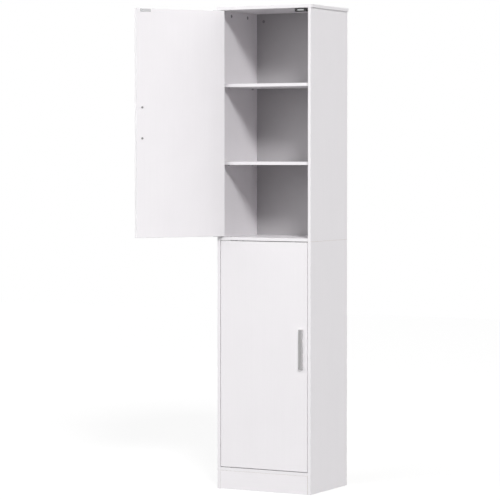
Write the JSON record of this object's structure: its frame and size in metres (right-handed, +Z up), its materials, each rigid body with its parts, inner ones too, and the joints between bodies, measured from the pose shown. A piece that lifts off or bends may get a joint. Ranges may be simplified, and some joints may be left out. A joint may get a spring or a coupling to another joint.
{
  "type": "tall bathroom cabinet",
  "caption": "Tall narrow bathroom cabinet with stacked upper and lower compartments behind flush hinged doors, inner shelves, bar handles and a flat plinth.",
  "frame": {"origin": "middle of the plinth's front edge, on the floor", "axes": "+Z up from the floor; +Y from the front edges to the rear; +X across the width, from the hinge side to the handle side"},
  "size_m": [0.582, 0.6054, 1.805],
  "materials": {
    "carcass_board": "particle board with a white satin foil",
    "door_board": "fibre board with a white satin lacquer",
    "back_board": "thin hardboard, printed white, matt",
    "beech_dowel": "fluted, bare",
    "zinc_cams": "die cast, dull",
    "plated_steel": "zinc plated",
    "sheet_steel": "pressed and plated",
    "handle_metal": "brushed, satin nickel colour",
    "catch_plastic": "black moulding",
    "magnet_iron": "ferrite magnet between steel plates"
  },
  "bodies": {
    "carcass": {"bottom_cam_bolts": "plated_steel", "bottom_cam_locks": "zinc_cams", "bottom_dowels": "beech_dowel", "bottom_panel": "carcass_board", "divider_cam_bolts": "plated_steel", "divider_cam_locks": "zinc_cams", "divider_dowels": "beech_dowel", "divider_panel": "carcass_board", "joining_bracket_screws": "plated_steel", "joining_brackets": "sheet_steel", "lower_back_panel": "back_board", "lower_catch_case": "catch_plastic", "lower_catch_magnet": "magnet_iron", "lower_catch_screws": "plated_steel", "lower_pivot_seat_screws": "plated_steel", "lower_pivot_seats": "sheet_steel", "lower_shelf_high": "carcass_board", "lower_shelf_low": "carcass_board", "lower_shelf_pins": "plated_steel", "lower_side_left": "carcass_board", "lower_side_right": "carcass_board", "plinth": "carcass_board", "plinth_bracket_screws": "plated_steel", "plinth_brackets": "sheet_steel", "plinth_dowels": "beech_dowel", "seam_dowels": "beech_dowel", "top_cam_bolts": "plated_steel", "top_cam_locks": "zinc_cams", "top_dowels": "beech_dowel", "top_panel": "carcass_board", "upper_back_panel": "back_board", "upper_catch_case": "catch_plastic", "upper_catch_magnet": "magnet_iron", "upper_catch_screws": "plated_steel", "upper_pivot_seat_screws": "plated_steel", "upper_pivot_seats": "sheet_steel", "upper_shelf_high": "carcass_board", "upper_shelf_low": "carcass_board", "upper_shelf_pins": "plated_steel", "upper_side_left": "carcass_board", "upper_side_right": "carcass_board", "wall_fixing_washers": "sheet_steel"},
    "upper_door_set": {"upper_door": "door_board", "upper_door_pivot_leaves": "sheet_steel", "upper_door_pivot_pins": "sheet_steel", "upper_door_pivot_screws": "plated_steel", "upper_handle": "handle_metal", "upper_handle_screws": "plated_steel", "upper_strike_plate": "sheet_steel", "upper_strike_screws": "plated_steel"},
    "lower_door_set": {"lower_door": "door_board", "lower_door_pivot_leaves": "sheet_steel", "lower_door_pivot_pins": "sheet_steel", "lower_door_pivot_screws": "plated_steel", "lower_handle": "handle_metal", "lower_handle_screws": "plated_steel", "lower_strike_plate": "sheet_steel", "lower_strike_screws": "plated_steel"}
  },
  "joints": [
    {"name": "upper_door_hinge", "type": "hinge", "parent": "carcass", "child": "upper_door_set", "pos_m": [-0.1773, 0.0034, 1.3695], "axis": [0, 0, -1], "range_deg": [-124, 0]},
    {"name": "lower_door_hinge", "type": "hinge", "parent": "carcass", "child": "lower_door_set", "pos_m": [-0.1773, 0.0034, 0.5075], "axis": [0, 0, -1], "range_deg": [0, 124]}
  ]
}
